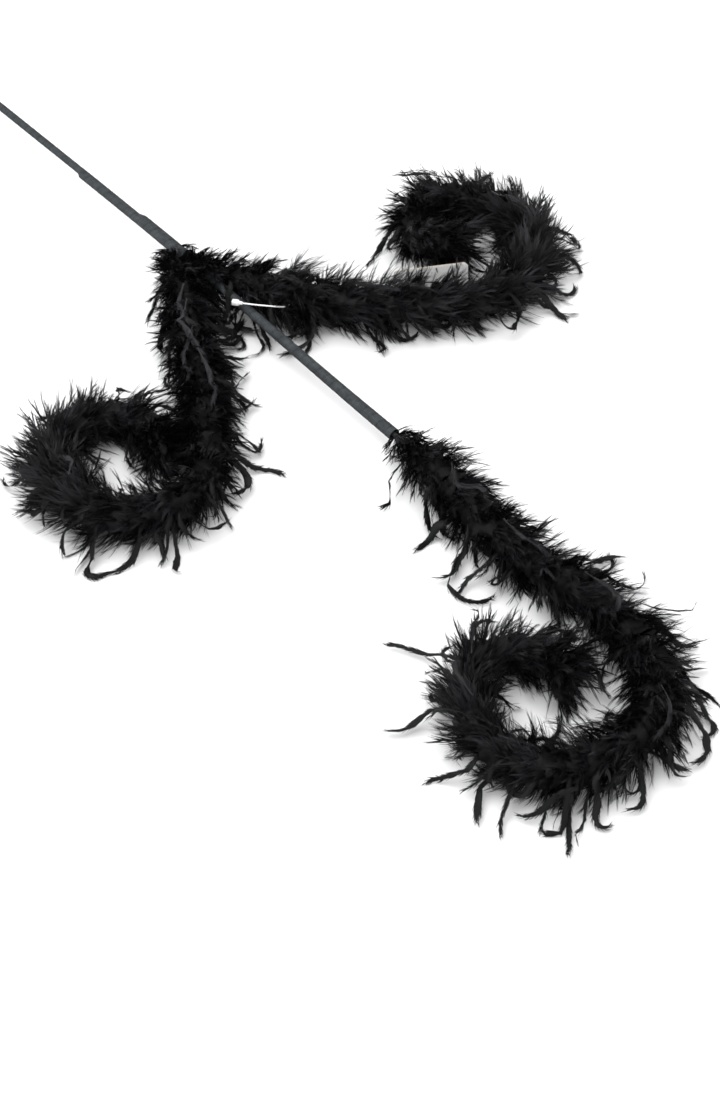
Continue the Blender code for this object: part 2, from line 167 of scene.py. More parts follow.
# the tape: (x, radius to the side, radius upwards, shift to the left) and how it is wound
TAPE = [(0.0, 0.0027, 0.0027, 0.0), (0.222, 0.0027, 0.0027, 0.0), (0.227, 0.00385, 0.0031, -0.00105)]
TAPE += [(0.297, 0.00385, 0.0031, -0.00105), (0.302, 0.0049, 0.0033, 0.0), (0.345, 0.0050, 0.0036, 0.0)]
TAPE += [(0.356, 0.0050, 0.0036, 0.0), (0.370, 0.0040, 0.0033, 0.0008), (0.380, 0.0030, 0.0030, 0.0)]
TAPE += [(0.45, 0.0034, 0.0034, 0.0), (0.598, 0.0043, 0.0043, 0.0)]
TAPE_PITCH = 0.0085
TAPE_THICK = 0.00030
TAPE_SIDES = 28
TAPE_SPACING = 0.0009
LAP_SHARE = 0.09
STAIN_ROWS = 3
# the side round the stem where the tape is painted lighter as painted light, with painted shade on the far
# side
PAINTED_LIT_SIDE = 135

# the tag: its strap, the head that locks the strap's loop, the bar at its end and the card
STRAP_R = 0.0006
LOCK_START = Vector((0.4252, -0.0085, 0.0095))
LOCK_END = Vector((0.4318, -0.0038, 0.0100))
STRAP_OVER_STEM = Vector((0.4415, 0.0066, 0.0085))
STRAP_AT = 0.080
STRAP_TURN_R = 0.0042
STRAP_TURN_FROM = 50
STRAP_TURN_TO = 450
STRAP_TURN_STEPS = 10
STRAP_PAST_CARD = 0.0030
TOGGLE_R = 0.0009
TOGGLE_LENGTH = 0.0072
STRAP_PITCH = 0.0018
STRAP_SPACING = 0.0012
AIR = 0.0003
CARD_CORNER = (0.4745, 0.1065)
CARD_HEADING = 60
CARD_SIZE = (0.057, 0.0225, 0.0008)
CARD_LEAN = 8
CARD_LIFT = 0.0015
CARD_ROUND = 0.003
HOLE_R = 0.0020
HOLE_INSET = 0.006
CARD_SIDES = 96
CARD_EDGE = 0.00025
CARD_BOW = 0.0006
TURNED_SIDES = 20

# the camera, in the part's frame
CAMERA_TARGET = Vector((0.6521, -0.0778, FLOOR_Z))
CAMERA_AZIMUTH = -40.3
CAMERA_ELEVATION = 48.0
CAMERA_DISTANCE = 1.553
CAMERA_LENS = 75.0

# the light
WORLD_STRENGTH = 1.16
SOFTBOX_SIZE = 2.0
SOFTBOX_POWER = 28.0
SOFTBOX_PLACE = Vector((-0.15, -0.55, 1.9))
FLOOR_REACH = 40.0
FLOOR_GAP = 0.0002


def eased(knots, s):
    """The height at each s: level at every knot, with a smooth step between neighbours."""
    stations = [k[0] for k in knots]
    heights = np.array([k[1] for k in knots] + [knots[-1][1]])
    t = np.interp(s, stations, range(len(knots)))
    k = np.floor(t).astype(int)
    t = t - k
    return heights[k] + (heights[k + 1] - heights[k]) * t * t * (3 - 2 * t)


class Route:
    """The centre line of a wire, as points one step apart, each with its distance and heading."""

    def __init__(self, root, heading, bends, rise):
        x, y = root
        angle = math.radians(heading)
        rows = [(0.0, x, y, angle)]
        for length, turn in bends:
            count = round(length / STEP)
            for _ in range(count):
                angle += math.radians(turn) / count / 2
                x += length / count * math.cos(angle)
                y += length / count * math.sin(angle)
                angle += math.radians(turn) / count / 2
                rows.append((rows[-1][0] + length / count, x, y, angle))
        self.s, self.x, self.y, self.angle = np.array(rows).T
        self.z = eased(rise, self.s)
        self.length = self.s[-1]

    def at(self, s):
        """Centre, ahead and right-hand direction at each s. Past the ends the line runs straight on."""
        beyond = s - np.clip(s, 0, self.length)
        angle = np.interp(s, self.s, self.angle)
        flat = np.zeros_like(angle)
        ahead = np.stack((np.cos(angle), np.sin(angle), flat), axis=-1)
        right = np.stack((np.sin(angle), -np.cos(angle), flat), axis=-1)
        centre = np.stack([np.interp(s, self.s, v) for v in (self.x, self.y, self.z)], axis=-1)
        return centre + ahead * beyond[..., None], ahead, right

    def point(self, s):
        return Vector(self.at(np.array(s))[0])


def branch_route(plan):
    rise = [(0.0, plan["fork_z"]), (BRANCH_FALL, BOA_Z)]
    return Route(plan["root"], plan["heading"], plan["bends"], rise)


def unit(v):
    return v / np.maximum(np.linalg.norm(v, axis=-1, keepdims=True), 1e-12)


# meshes


class Sheets:
    """Grids of vertices that become one mesh: each is (strips, points along, points across, xyz)."""

    def __init__(self):
        self.verts, self.faces, self.tones, self.strands, self.count = [], [], [], [], 0

    def add(self, grid, tone, closed=False, strand=0.0):
        n, m, c = grid.shape[:3]
        first = (np.arange(n)[:, None] * m + np.arange(m - 1)[None, :]) * c
        across = np.arange(c if closed else c - 1)
        a = first[..., None] + across
        b = first[..., None] + (across + 1) % c
        faces = np.stack((a, b, b + c, a + c), axis=-1).reshape(-1, 4)
        self.verts.append(grid.reshape(-1, 3))
        self.faces.append(faces + self.count)
        tone = np.asarray(tone, dtype=float).reshape(-1, 1, 1)
        strand = np.atleast_2d(np.asarray(strand, dtype=float))[:, None, :]
        self.tones.append(np.broadcast_to(tone, (n, m, c)).reshape(-1))
        self.strands.append(np.broadcast_to(strand, (n, m, c)).reshape(-1))
        self.count += n * m * c

    def ribbons(self, centre, side, half, tone, strand=0.0):
        reach = side * half[..., None]
        self.add(np.stack((centre - reach, centre + reach), axis=2), tone, strand=strand)

    def build(self, name, material):
        verts = np.concatenate(self.verts).astype(np.float32)
        faces = np.concatenate(self.faces).astype(np.int32)
        mesh = bpy.data.meshes.new(name)
        mesh.vertices.add(len(verts))
        mesh.vertices.foreach_set("co", verts.ravel())
        mesh.loops.add(faces.size)
        mesh.loops.foreach_set("vertex_index", faces.ravel())
        mesh.polygons.add(len(faces))
        mesh.polygons.foreach_set("loop_start", np.arange(0, faces.size, 4, dtype=np.int32))
        mesh.update(calc_edges=True)
        for label, values in (("tone", self.tones), ("strand", self.strands)):
            layer = mesh.attributes.new(label, "FLOAT", "POINT")
            layer.data.foreach_set("value", np.concatenate(values).astype(np.float32))
        mesh.shade_smooth()
        mesh.materials.append(material)
        made = bpy.data.objects.new(name, mesh)
        bpy.context.scene.collection.objects.link(made)
        return made


# feathers


def growth(s, full_near):
    """How full the boa is at s: thinner for the first stretch from its root, and fuller at some places."""
    t = np.clip((s + 0.006) / 0.050, 0, 1)
    swell = sum((most - 1) * np.exp(-(((s - place) / spread) ** 2)) for place, most, spread in full_near)
    return (THIN_START + (1 - THIN_START) * t * t * (3 - 2 * t)) * (1 + swell)


def lay(rng, points):
    """Points that would be under the floor lie on it, and high ones are pressed down."""
    rest = FLOOR_Z + 0.0004 + 0.0022 * rng.random(points.shape[0])
    rest = rest.reshape(-1, *([1] * (points.ndim - 2)))
    room = 0.004 + 0.009 * rng.random(rest.shape)
    start = HIGHEST - room - 0.003 * rng.random(rest.shape) ** 2
    over = np.maximum(points[..., 2] - start, 0)
    pressed = np.minimum(points[..., 2], start) + room * (1 - np.exp(-over / room))
    points[..., 2] = np.maximum(pressed, rest)
    for axis in (0, 1):
        low, high = cad_box[0][axis] - REACH, cad_box[1][axis] + REACH
        points[..., axis] = np.clip(points[..., axis], low, high)
    return points


def plumes(sheets, rng, route, start, end, full_near, size=1.0):
    """Feathers sewn round the cord from start to end. Each is a soft blade with tufts of fine barbs."""
    count = round((end - start) * PLUMES_PER_METRE)
    s = start + (end - start) * (np.arange(count) + rng.random(count)) / count
    centre, ahead, right = route.at(s)
    around = GOLDEN_TURN * np.arange(count) + rng.normal(0, 0.3, count)
    radial = right * np.cos(around)[:, None] + UP * np.sin(around)[:, None]
    aside = UP * np.cos(around)[:, None] - right * np.sin(around)[:, None]
    grown = growth(s, full_near) * size
    length = PLUME_LENGTH * grown * rng.lognormal(0, 0.16, count)
    # Neighbouring feathers comb the same way, so lean, turn and sway drift slowly along and round the boa.
    drift = np.sin(s * 210 + 1.7 * np.sin(around)) + 0.7 * np.sin(s * 97 + 2.3 * np.cos(around) + 1.1)
    lean = np.radians(16 + 9 * drift + rng.normal(0, 7, count))
    turn = np.maximum(np.radians(32 + 8 * drift + rng.normal(0, 9, count)), 0.05)
    swirl = np.cos(s * 160 + 2.0 * np.sin(around + 0.6))
    sway = 0.45 * swirl + rng.normal(0, 0.22, count)

    def spine_at(t):
        """Points and directions along the feathers at t, one row of t for each feather."""
        ones = [1] * (t.ndim - 1)
        l0, k = lean.reshape(-1, *ones), turn.reshape(-1, *ones)
        out, fore, off, base = [v.reshape(count, *ones, 3) for v in (radial, ahead, aside, centre)]
        swing = sway.reshape(-1, *ones) * t
        angle = l0 + k * t
        point = out * ((np.sin(angle) - np.sin(l0)) / k)[..., None]
        point = point + fore * ((np.cos(l0) - np.cos(angle)) / k)[..., None]
        point = point + off * (swing * t / 2)[..., None]
        heading = out * np.cos(angle)[..., None] + fore * np.sin(angle)[..., None] + off * swing[..., None]
        return base + point * length.reshape(-1, *ones, 1), unit(heading)

    t = np.broadcast_to(np.linspace(0.2, 1.0, BLADE_POINTS), (count, BLADE_POINTS))
    spine, heading = spine_at(t)
    roll = rng.normal(0, 0.45, count)
    flat = unit(np.cross(heading[:, -1], aside))
    plane = unit(aside * np.cos(roll)[:, None] + flat * np.sin(roll)[:, None])
    tone = np.clip(0.42 + 0.20 * drift + rng.normal(0, 0.20, count), 0, 1) ** 1.6
    strand = rng.random(count) * 40
    side = unit(plane[:, None, :] - heading * np.sum(plane[:, None, :] * heading, axis=-1, keepdims=True))
    cup = np.cross(side, heading)
    half = BLADE_HALF_WIDTH * np.sin(np.clip(0.12 + 0.88 * t, 0, 1) * math.pi) ** 0.7
    half = np.maximum(half * rng.uniform(0.6, 1.3, (count, 1)), TIP_HALF_WIDTH)[..., None]
    grid = np.stack((spine - side * half, spine + cup * half * 0.35, spine + side * half), axis=2)
    sheets.add(lay(rng, grid), tone, strand=strand[:, None] + np.array((0.0, 0.5, 1.0)))

    barbs = TUFTS * BARBS_PER_TUFT
    tuft = np.arange(barbs) // BARBS_PER_TUFT
    hand = np.where(tuft % 2 == 0, 1.0, -1.0)
    order = (tuft + (np.arange(barbs) % BARBS_PER_TUFT) / BARBS_PER_TUFT) / TUFTS
    u = np.clip(0.18 + 0.72 * order + rng.normal(0, 0.03, (count, barbs)), 0.05, 0.95)
    reach = BARB_LENGTH * (1.15 - 0.45 * u) * rng.lognormal(0, 0.14, (count, barbs)) * grown[:, None]
    v = np.linspace(0, 1, BARB_POINTS)
    along = u[..., None] + v * (reach / length[:, None])[..., None]
    base = spine_at(u)[0]
    path_heading = spine_at(np.minimum(along, 1.3))[1]
    spread = np.repeat(rng.normal(24, 6, (count, TUFTS)), BARBS_PER_TUFT, axis=1)
    open_angle = np.radians(spread + rng.normal(0, 4, (count, barbs)))[..., None] * (1 - 0.65 * v)
    lift = np.repeat(rng.normal(0, 0.30, (count, TUFTS)), BARBS_PER_TUFT, axis=1)
    lift = lift + rng.normal(0, 0.12, (count, barbs))
    off = plane[:, None, :] * hand[:, None] + flat[:, None, :] * lift[..., None]
    direction = path_heading * np.cos(open_angle)[..., None]
    direction = unit(direction + off[:, :, None, :] * np.sin(open_angle)[..., None])
    steps = (direction[:, :, 1:] + direction[:, :, :-1]) / 2 * (reach / (BARB_POINTS - 1))[..., None, None]
    walked = np.concatenate((np.zeros_like(steps[:, :, :1]), np.cumsum(steps, axis=2)), axis=2)
    path = base[:, :, None, :] + walked

    # Barbs of one tuft cling together towards their tips.
    pull = rng.uniform(0.15, 0.75, (count, 1))
    for k in range(TUFTS):
        mine = np.flatnonzero(tuft == k)
        ends = path[:, mine, -1]
        shift = (ends.mean(axis=1, keepdims=True) - ends) * pull[:, :, None]
        path[:, mine] += shift[:, :, None, :] * (v**1.5)[:, None]
    path = path.reshape(count * barbs, BARB_POINTS, 3)
    direction = direction.reshape(path.shape)
    face = np.repeat(unit(np.cross(heading[:, 2], plane)), barbs, axis=0)
    face = unit(face + rng.normal(0, 0.2, face.shape))
    side = unit(np.cross(direction, face[:, None, :]))
    half = (BARB_HALF_WIDTH - TIP_HALF_WIDTH) * (1 - v) ** 0.7 + TIP_HALF_WIDTH
    half = half[None, :] * rng.uniform(0.7, 1.25, (count * barbs, 1))
    mixed = np.clip(np.repeat(tone, barbs) + rng.normal(0, 0.15, count * barbs), 0, 1)
    sheets.ribbons(lay(rng, path), side, half, mixed, strand=rng.random((count * barbs, 1)) * 40)


def core(sheets, rng, route, start, end, size=1.0, sides=16, spacing=0.003):
    """The dense down close to the cord, as an uneven tube."""
    count = max(3, round((end - start) / spacing))
    s = np.linspace(start, end, count)
    centre, _, right = route.at(s)
    turns = 2 * math.pi * np.arange(sides) / sides
    rough = 1 + 0.16 * rng.normal(0, 1, (count, sides))
    radius = size * CORE_R * np.clip((s - 0.002) / 0.04, 0.25, 1)[:, None] * rough
    closing = np.clip((route.length - 0.006 - s) / 0.012, 0.05, 1)[:, None]
    radius = radius * np.sqrt(closing)
    ring = right[:, None, :] * np.cos(turns)[None, :, None] * radius[..., None]
    ring = ring + UP * (np.sin(turns)[None, :] * radius)[..., None]
    sheets.add((centre[:, None, :] + ring)[None], 0.0, closed=True)


def wisp_path(rng, route, row, lying, scale):
    """The middle line of a matted strip. A lying one stays on top of the fluff."""
    station, leave, length, turn = row
    count = STRIP_POINTS
    base, ahead, _ = route.at(np.array(station / 1000))
    t = np.linspace(0, 1, count)
    kinks = np.zeros(count)
    for _ in range(4):
        kinks += math.radians(rng.normal(0, 26)) * (t > rng.uniform(0.30, 0.95))
    kinks -= kinks.mean()
    hook = math.radians(rng.choice((-1, 1)) * rng.choice((0, 60, 120), p=(0.5, 0.3, 0.2)))
    bend = np.clip((t - 0.35) / 0.65, 0, 1)
    curl = hook * np.clip((t - 0.72) / 0.28, 0, 1)
    angle = math.atan2(ahead[1], ahead[0]) + math.radians(leave) + math.radians(turn) * bend + kinks + curl
    step = scale * length / 1000 / (count - 1)
    path = np.zeros((count, 3))
    path[1:, 0] = np.cumsum(np.cos(angle[1:])) * step
    path[1:, 1] = np.cumsum(np.sin(angle[1:])) * step
    out = np.linalg.norm(path[:, :2], axis=1)
    if lying:
        top = HIGHEST - rng.uniform(0.0035, 0.0065)
        path[:, 2] = top + 0.0015 * np.sin(t * 7 + rng.uniform(0, 6)) - 0.010 * t**3
        path[:, :2] += base[:2]
        return t, path
    arch = rng.uniform(0.000, 0.012)
    down = FLOOR_Z + rng.uniform(0.0008, 0.006)
    fall = np.clip((out - 0.014) / 0.028, 0, 1)
    fall = fall * fall * (3 - 2 * fall)
    rise = np.sin(np.clip(out / 0.016, 0, 1) * math.pi / 2) * arch
    path[:, 2] = (base[2] + rise) * (1 - fall) + down * fall
    path[:, :2] += base[:2]
    return t, path


def wisp(sheets, rng, route, row, width=STRIP_HALF_WIDTH, lying=False):
    """One long feather whose tip has matted into a strip, with short barbs along its edges."""
    for scale in (1.0, 0.88, 0.76, 0.64, 0.52, 0.42):
        t, path = wisp_path(rng, route, row, lying, scale)
        inside = [np.all(path[:, a] > cad_box[0][a] - REACH + 0.001) for a in (0, 1)]
        inside += [np.all(path[:, a] < cad_box[1][a] + REACH - 0.001) for a in (0, 1)]
        if all(inside):
            break
    count = len(t)
    heading = unit(np.gradient(path, axis=0))
    tilt = rng.normal(0, 0.3) + np.cumsum(rng.normal(0, 0.13, count))
    level = unit(np.cross(heading, UP))
    side = level * np.cos(tilt)[:, None] + np.cross(heading, level) * np.sin(tilt)[:, None]
    normal = np.cross(side, heading)
    broad = width * rng.uniform(0.55, 1.25)
    swell = 0.35 + 0.65 * np.sin(np.clip((t - 0.15) / 0.85, 0, 1) * math.pi) ** 0.8
    pinch = 1 + 0.22 * np.sin(t * rng.uniform(12, 24) + rng.uniform(0, 6)) + 0.10 * rng.normal(0, 1, count)
    half = broad * swell * pinch * np.clip((1 - t) / 0.10, 0.04, 1)
    keel = normal * (half * 0.40)[:, None]
    grid = np.stack((path - side * half[:, None], path + keel, path + side * half[:, None]), axis=1)
    # Painted sheen: strips lying on top of the fluff get a lighter colour, and through the material a lower
    # roughness; hanging strips stay near black.
    tone = rng.uniform(0.35, 0.8) if lying else rng.uniform(0.0, 0.25)
    strand = rng.random() * 40 + np.array((0.0, 0.7, 1.4))
    sheets.add(lay(rng, grid[None]), tone, strand=strand[None])

    teeth = int(row[2] * 3.4)
    place = rng.uniform(0.15, 0.99, teeth)
    k = np.minimum((place * (count - 1)).astype(int), count - 1)
    hand = np.where(rng.random(teeth) < 0.5, -1.0, 1.0)
    angle = np.radians(rng.normal(20, 8, teeth))
    reach = rng.uniform(0.002, 0.0055, teeth)
    v = np.linspace(0, 1, 4)
    out = heading[k] * np.cos(angle)[:, None] + side[k] * (hand * np.sin(angle))[:, None]
    spread = path[k] + side[k] * (half[k] * hand * 0.7)[:, None]
    points = spread[:, None, :] + out[:, None, :] * (reach[:, None] * v)[..., None]
    points = points + (heading[k] - out)[:, None, :] * (reach[:, None] * v**2 * 0.35)[..., None]
    across = unit(np.cross(out, normal[k]))
    width_at = (0.00026 - 0.00022 * v)[None, :] * rng.uniform(0.7, 1.2, (teeth, 1))
    sheets.ribbons(lay(rng, points), np.repeat(across[:, None, :], 4, axis=1), width_at, tone)


def random_wisps(rng, start, end, per_metre):
    """Short matted tips at random places, mostly leaning forward and out."""
    made = []
    for _ in range(round((end - start) * per_metre)):
        hand = 1 if rng.random() < 0.5 else -1
        leave = hand * rng.uniform(30, 80)
        made.append((1000 * rng.uniform(start, end), leave, rng.uniform(27, 42), hand * rng.normal(0, 60)))
    return made


# materials


def node_material(name):
    made = bpy.data.materials.new(name)
    made.use_nodes = True
    tree = made.node_tree
    return made, tree, tree.nodes["Principled BSDF"]


def ramp(tree, low, high, start=0.0, stop=1.0):
    made = tree.nodes.new("ShaderNodeValToRGB")
    made.color_ramp.elements[0].position = start
    made.color_ramp.elements[0].color = (*low, 1)
    made.color_ramp.elements[1].position = stop
    made.color_ramp.elements[1].color = (*high, 1)
    return made


def noise(tree, scale, detail=3.0, stretch=None):
    coordinates = tree.nodes.new("ShaderNodeTexCoord")
    made = tree.nodes.new("ShaderNodeTexNoise")
    made.inputs["Scale"].default_value = scale
    made.inputs["Detail"].default_value = detail
    source = coordinates.outputs["Object"]
    if stretch:
        mapping = tree.nodes.new("ShaderNodeMapping")
        mapping.inputs["Scale"].default_value = stretch
        tree.links.new(source, mapping.inputs["Vector"])
        source = mapping.outputs["Vector"]
    tree.links.new(source, made.inputs["Vector"])
    return made


def feather_material():
    """Dyed black barbs. Each strip's strand value gives it fine stripes along its length."""
    made, tree, shader = node_material("black_feather")
    tone = tree.nodes.new("ShaderNodeAttribute")
    tone.attribute_name = "tone"
    strand = tree.nodes.new("ShaderNodeAttribute")
    strand.attribute_name = "strand"
    stripes = tree.nodes.new("ShaderNodeTexNoise")
    stripes.noise_dimensions = "1D"
    stripes.inputs["Scale"].default_value = 9.0
    stripes.inputs["Detail"].default_value = 1.0
    tree.links.new(strand.outputs["Fac"], stripes.inputs["W"])
    mixed = tree.nodes.new("ShaderNodeMath")
    mixed.operation = "MULTIPLY"
    tree.links.new(tone.outputs["Fac"], mixed.inputs[0])
    tree.links.new(stripes.outputs["Fac"], mixed.inputs[1])
    colour = ramp(tree, (0.0003, 0.0003, 0.0005), (0.027, 0.027, 0.032), 0.08, 0.62)
    tree.links.new(mixed.outputs[0], colour.inputs["Fac"])
    tree.links.new(colour.outputs["Color"], shader.inputs["Base Color"])
    gloss = ramp(tree, (0.60, 0.60, 0.60), (0.30, 0.30, 0.30))
    tree.links.new(tone.outputs["Fac"], gloss.inputs["Fac"])
    tree.links.new(gloss.outputs["Color"], shader.inputs["Roughness"])
    shader.inputs["Specular IOR Level"].default_value = 0.20
    return made


def tape_material():
    """Crepe paper tape: fine wrinkles round the stem and a smudged grey; the tone attribute adds painted
    light.
    """
    made, tree, shader = node_material("floral_tape")
    crepe = noise(tree, 420.0, 4.0, (2.2, 0.4, 0.4))
    smudge = noise(tree, 120.0, 3.0)
    mixed = tree.nodes.new("ShaderNodeMath")
    mixed.operation = "MULTIPLY"
    tree.links.new(crepe.outputs["Fac"], mixed.inputs[0])
    tree.links.new(smudge.outputs["Fac"], mixed.inputs[1])
    tone = tree.nodes.new("ShaderNodeAttribute")
    tone.attribute_name = "tone"
    # the tone attribute holds painted light and shade round the stem, as well as the lap lines and stains
    painted_light_and_stain = tree.nodes.new("ShaderNodeMath")
    painted_light_and_stain.operation = "MULTIPLY_ADD"
    painted_light_and_stain.inputs[1].default_value = 0.62
    tree.links.new(tone.outputs["Fac"], painted_light_and_stain.inputs[0])
    tree.links.new(mixed.outputs[0], painted_light_and_stain.inputs[2])
    colour = ramp(tree, (0.006, 0.007, 0.008), (0.056, 0.063, 0.067), 0.25, 0.92)
    tree.links.new(painted_light_and_stain.outputs[0], colour.inputs["Fac"])
    tree.links.new(colour.outputs["Color"], shader.inputs["Base Color"])
    bump = tree.nodes.new("ShaderNodeBump")
    bump.inputs["Strength"].default_value = 0.5
    bump.inputs["Distance"].default_value = 0.0004
    tree.links.new(crepe.outputs["Fac"], bump.inputs["Height"])
    tree.links.new(bump.outputs["Normal"], shader.inputs["Normal"])
    shader.inputs["Roughness"].default_value = 0.80
    shader.inputs["Specular IOR Level"].default_value = 0.12
    return made


def card_material():
    """White card with a faint grain, and tan where the tone marks its cut edge."""
    made, tree, shader = node_material("white_card")
    grain = noise(tree, 900.0)
    face = ramp(tree, (0.86, 0.86, 0.85), (0.93, 0.93, 0.92), 0.3, 0.7)
    tree.links.new(grain.outputs["Fac"], face.inputs["Fac"])
    tone = tree.nodes.new("ShaderNodeAttribute")
    tone.attribute_name = "tone"
    mixed = tree.nodes.new("ShaderNodeMix")
    mixed.data_type = "RGBA"
    tree.links.new(tone.outputs["Fac"], mixed.inputs["Factor"])
    tree.links.new(face.outputs["Color"], mixed.inputs["A"])
    mixed.inputs["B"].default_value = (0.55, 0.46, 0.34, 1)
    tree.links.new(mixed.outputs["Result"], shader.inputs["Base Color"])
    shader.inputs["Roughness"].default_value = 0.75
    return made


def plain_material(name, low, high, scale, roughness, coat=0.0):
    """A surface whose colour drifts a little between low and high."""
    made, tree, shader = node_material(name)
    drift = noise(tree, scale)
    colour = ramp(tree, low, high, 0.3, 0.7)
    tree.links.new(drift.outputs["Fac"], colour.inputs["Fac"])
    tree.links.new(colour.outputs["Color"], shader.inputs["Base Color"])
    shader.inputs["Roughness"].default_value = roughness
    shader.inputs["Coat Weight"].default_value = coat
    return made


# the studio


def studio():
    scene = bpy.context.scene
    azimuth, elevation = math.radians(CAMERA_AZIMUTH), math.radians(CAMERA_ELEVATION)
    flat = math.cos(elevation)
    back = Vector((math.cos(azimuth) * flat, math.sin(azimuth) * flat, math.sin(elevation)))
    camera = bpy.data.objects.new("camera", bpy.data.cameras.new("camera"))
    camera.data.lens = CAMERA_LENS
    camera.location = CAMERA_TARGET + back * CAMERA_DISTANCE
    camera.rotation_euler = (-back).to_track_quat("-Z", "Y").to_euler()
    scene.collection.objects.link(camera)
    scene.camera = camera

    mesh = bpy.data.meshes.new("floor")
    corners = [(x * FLOOR_REACH, y * FLOOR_REACH) for x, y in ((-1, -1), (1, -1), (1, 1), (-1, 1))]
    mesh.from_pydata([(x, y, FLOOR_Z - FLOOR_GAP) for x, y in corners], [], [(0, 1, 2, 3)])
    floor = bpy.data.objects.new("floor", mesh)
    scene.collection.objects.link(floor)
    mesh.materials.append(plain_material("floor_white", (0.86, 0.86, 0.865), (0.88, 0.88, 0.885), 1.5, 0.6))

    world = bpy.data.worlds.new("studio")
    world.use_nodes = True
    world.node_tree.nodes["Background"].inputs["Color"].default_value = (1, 1, 1, 1)
    world.node_tree.nodes["Background"].inputs["Strength"].default_value = WORLD_STRENGTH
    scene.world = world
    lamp = bpy.data.lights.new("softbox", "AREA")
    lamp.shape = "DISK"
    lamp.size = SOFTBOX_SIZE
    lamp.energy = SOFTBOX_POWER
    softbox = bpy.data.objects.new("softbox", lamp)
    softbox.location = CAMERA_TARGET + SOFTBOX_PLACE
    softbox.rotation_euler = (CAMERA_TARGET - softbox.location).to_track_quat("-Z", "Y").to_euler()
    scene.collection.objects.link(softbox)
    scene.view_settings.view_transform = "Standard"


# the stem's tape and the tag


def ring_grid(centres, sides_at, ups_at, turns):
    """Rings of points: one centre and one scaled side and up direction for each."""
    grid = centres[:, None, :] + sides_at[:, None, :] * np.cos(turns)[None, :, None]
    return grid + ups_at[:, None, :] * np.sin(turns)[None, :, None]


def stem_tape(material):
    """Crepe tape wound from the cut end to the tip branch, with a step where each wire joins the stem."""
    rng = np.random.default_rng(11)
    knots = np.array(TAPE).T
    x = np.arange(0, STEM_LENGTH - 0.002, TAPE_SPACING)
    z = eased(STEM_RISE, x)
    turns = 2 * math.pi * np.arange(TAPE_SIDES) / TAPE_SIDES
    wide, tall, shift = (np.interp(x, knots[0], row) for row in knots[1:])
    wound = (x[:, None] / TAPE_PITCH + turns[None, :] / (2 * math.pi)) % 1.0
    layer = TAPE_THICK * (np.clip(wound / 0.12, 0, 1) - 0.35 * wound)
    crease = 0.00005 * rng.normal(0, 1, (len(x), TAPE_SIDES))
    grown = layer + crease
    grid = np.zeros((len(x), TAPE_SIDES, 3))
    grid[..., 0] = x[:, None]
    grid[..., 1] = shift[:, None] + (wide[:, None] + grown) * np.cos(turns)
    grid[..., 2] = z[:, None] + (tall[:, None] + grown) * np.sin(turns)
    lips = []
    for share, back in ((0.90, 0.0), (0.78, 0.0), (0.76, 0.003)):
        lip = grid[0].copy()
        lip[:, 1:] = lip[:, 1:] * share
        lip[:, 0] = back
        lips.insert(0, lip)
    # Painted light: the tape is coloured lighter towards PAINTED_LIT_SIDE, upwards and towards -Y, and
    # darker on the far side and underneath, as painted shading. The lap lines and blotches are the tape's
    # own marks.
    painted_facing = np.cos(turns - math.radians(PAINTED_LIT_SIDE))
    lap = np.exp(-((wound / LAP_SHARE) ** 2)) + np.exp(-(((1 - wound) / LAP_SHARE) ** 2))
    stain = rng.normal(0, 1, (len(x) // STAIN_ROWS + 2, TAPE_SIDES))
    rows = np.arange(len(x)) / STAIN_ROWS
    row = rows.astype(int)
    blotch = stain[row] + (stain[row + 1] - stain[row]) * (rows % 1)[:, None]
    tone = np.clip(0.45 + 0.40 * painted_facing - 0.25 * lap + 0.09 * blotch, 0, 1)
    sheets = Sheets()
    sheets.add(np.concatenate((np.array(lips), grid))[None], 0.0, closed=True)
    sheets.tones = [np.concatenate((np.zeros(3 * TAPE_SIDES), tone.reshape(-1)))]
    piece = sheets.build("stem_tape_winding", material)
    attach(piece, "stem")
    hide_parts("tape_butt", "tape_middle", "tape_shoulder", "tape_fork", "tape_lower")


def card_frame():
    """The card's hole, its long direction, its face's direction and its upward direction."""
    heading, lean = math.radians(CARD_HEADING), math.radians(CARD_LEAN)
    along = Vector((math.cos(heading), math.sin(heading), 0))
    across = Vector((-math.sin(heading), math.cos(heading), 0))
    up = Vector((0, 0, math.cos(lean))) + across * math.sin(lean)
    corner = Vector((*CARD_CORNER, FLOOR_Z + CARD_LIFT))
    return corner + along * HOLE_INSET + up * CARD_SIZE[1] / 2, along, along.cross(up), up


def smooth_path(guides, spacing):
    """Points about spacing apart on the smooth curve through the guide points."""
    padded = [2 * guides[0] - guides[1], *guides, 2 * guides[-1] - guides[-2]]
    made = []
    for a, b, c, d in zip(padded, padded[1:], padded[2:], padded[3:]):
        count = max(1, round((c - b).length / spacing))
        for k in range(count):
            t = k / count
            bow = 2 * b + (c - a) * t + (2 * a - 5 * b + 4 * c - d) * t * t
            made.append((bow + (3 * b - a - 3 * c + d) * t**3) / 2)
    return made + [guides[-1]]


